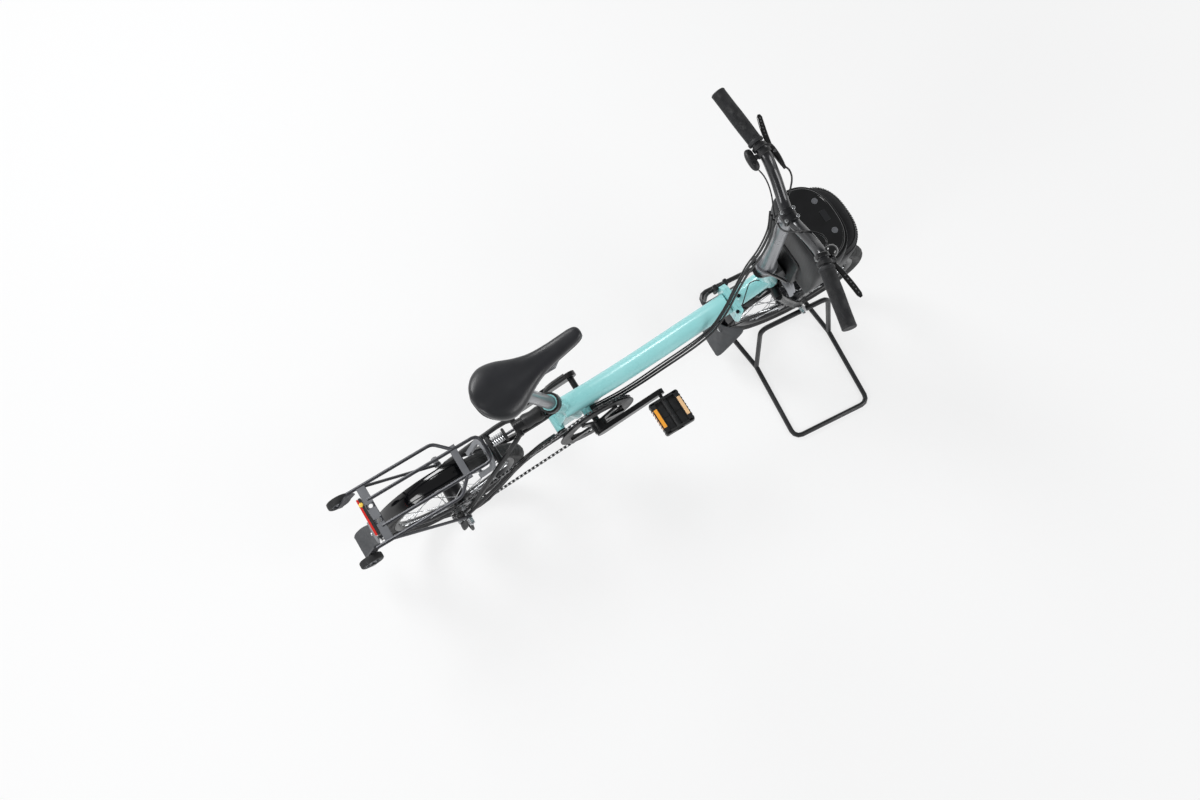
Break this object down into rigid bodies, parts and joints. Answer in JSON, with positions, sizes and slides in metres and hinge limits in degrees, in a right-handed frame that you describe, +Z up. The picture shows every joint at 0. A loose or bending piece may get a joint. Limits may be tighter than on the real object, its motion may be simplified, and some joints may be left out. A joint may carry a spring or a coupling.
{
  "type": "folding electric bicycle on a display stand",
  "caption": "Small-wheeled folding electric bicycle with a curved turquoise main tube, front battery bag, rear rack with rollers and a low tubular display stand under the front wheel",
  "frame": {"origin": "on the floor, at the centre of the parked assembly's footprint", "axes": "+X forwards along the bicycle, +Y to the rider's left, +Z up"},
  "size_m": [1.5289, 0.6252, 1.0355],
  "materials": {
    "turquoise_paint": "gloss",
    "black_paint": "satin",
    "graphite_paint": "satin",
    "black_alloy": "satin",
    "bright_alloy": "satin",
    "chain_steel": "satin",
    "black_plastic": "matte",
    "gloss_plastic": "gloss",
    "cable_cover": "satin",
    "grip_rubber": "matte",
    "flap_rubber": "matte",
    "tyre_rubber": "matte",
    "bag_fabric": "woven",
    "saddle_cover": "matte",
    "red_lens": "gloss"
  },
  "bodies": {
    "main_frame": {"main_frame": "turquoise_paint", "hinge_clamp": "black_plastic", "seat_clamp": "black_plastic", "control_cables": "cable_cover"},
    "front_frame": {"front_frame": "turquoise_paint", "hinge_jaw": "black_plastic", "carrier_block": "black_plastic", "battery_bag": "bag_fabric", "battery_panel": "gloss_plastic"},
    "fork": {"fork": "black_paint", "front_axle": "bright_alloy", "front_mudguard": "black_plastic", "front_flap": "flap_rubber", "front_brake": "bright_alloy", "display_stand": "black_paint"},
    "front_wheel": {"front_tyre": "tyre_rubber", "front_rim": "bright_alloy", "front_hub": "black_alloy"},
    "stem": {"stem": "graphite_paint", "handlebar": "graphite_paint", "grip_left": "grip_rubber", "grip_right": "grip_rubber", "brake_lever_left": "black_plastic", "brake_lever_right": "black_plastic", "shifter": "black_plastic", "bell": "black_plastic"},
    "rear_frame": {"rear_triangle": "black_paint", "pivot_pin": "bright_alloy", "suspension_block": "flap_rubber", "rear_rack": "black_paint", "rear_mudguard": "gloss_plastic", "rear_flap": "flap_rubber", "rear_light": "red_lens", "rear_brake": "bright_alloy", "chain_tensioner": "black_plastic", "chain": "chain_steel", "rear_axle": "bright_alloy"},
    "rear_wheel": {"rear_tyre": "tyre_rubber", "rear_rim": "bright_alloy", "rear_hub": "black_alloy"},
    "crank": {"cranks": "black_alloy", "chainring": "black_alloy"},
    "right_pedal": {"pedal_right": "black_plastic"},
    "left_pedal_hinge": {"pedal_hinge": "bright_alloy"},
    "left_pedal": {"pedal_left": "black_plastic"},
    "seatpost": {"seatpost": "graphite_paint", "saddle": "saddle_cover"},
    "left_roller": {"roller_left": "flap_rubber"},
    "right_roller": {"roller_right": "flap_rubber"}
  },
  "joints": [
    {"name": "main_fold", "type": "hinge", "parent": "main_frame", "child": "front_frame", "pos_m": [0.3285, 0.0023, 0.463], "axis": [0, 0, 1], "range_deg": [-145, 0], "deforming": ["control_cables"]},
    {"name": "steering", "type": "hinge", "parent": "front_frame", "child": "fork", "pos_m": [0.52346, 0.0423, 0.21], "axis": [-0.309, 0, 0.9511], "range_deg": [-50, 50]},
    {"name": "front_wheel_spin", "type": "hinge", "parent": "fork", "child": "front_wheel", "pos_m": [0.55488, 0.03953, 0.20996], "axis": [0.0878, 0.9957, 0.0285], "continuous": true},
    {"name": "stem_fold", "type": "hinge", "parent": "fork", "child": "stem", "pos_m": [0.39201, 0.06514, 0.60565], "axis": [0.7665, 0.642, 0.0193], "range_deg": [-160, 0]},
    {"name": "rear_fold", "type": "hinge", "parent": "main_frame", "child": "rear_frame", "pos_m": [-0.1745, 0.0423, 0.268], "axis": [0, -1, 0], "range_deg": [0, 132], "deforming": ["chain"]},
    {"name": "rear_wheel_spin", "type": "hinge", "parent": "rear_frame", "child": "rear_wheel", "pos_m": [-0.49, 0.0423, 0.21], "axis": [0, 1, 0], "continuous": true},
    {"name": "left_roller_spin", "type": "hinge", "parent": "rear_frame", "child": "left_roller", "pos_m": [-0.7345, 0.1243, 0.402], "axis": [0, 1, 0], "continuous": true},
    {"name": "right_roller_spin", "type": "hinge", "parent": "rear_frame", "child": "right_roller", "pos_m": [-0.7345, -0.0397, 0.402], "axis": [0, 1, 0], "continuous": true},
    {"name": "crank_spin", "type": "hinge", "parent": "main_frame", "child": "crank", "pos_m": [-0.0875, 0.0423, 0.3], "axis": [0, -1, 0], "continuous": true},
    {"name": "right_pedal_spin", "type": "hinge", "parent": "crank", "child": "right_pedal", "pos_m": [0.07723, -0.0407, 0.34199], "axis": [0, 1, 0], "continuous": true},
    {"name": "left_pedal_fold", "type": "hinge", "parent": "crank", "child": "left_pedal_hinge", "pos_m": [-0.25223, 0.1418, 0.25801], "axis": [-0.969, 0, -0.247], "range_deg": [0, 90]},
    {"name": "left_pedal_spin", "type": "hinge", "parent": "left_pedal_hinge", "child": "left_pedal", "pos_m": [-0.25223, 0.1418, 0.25801], "axis": [0, 1, 0], "continuous": true},
    {"name": "seatpost_slide", "type": "slide", "parent": "main_frame", "child": "seatpost", "axis": [-0.2588, 0, 0.9659], "range_m": [-0.3, 0]}
  ]
}
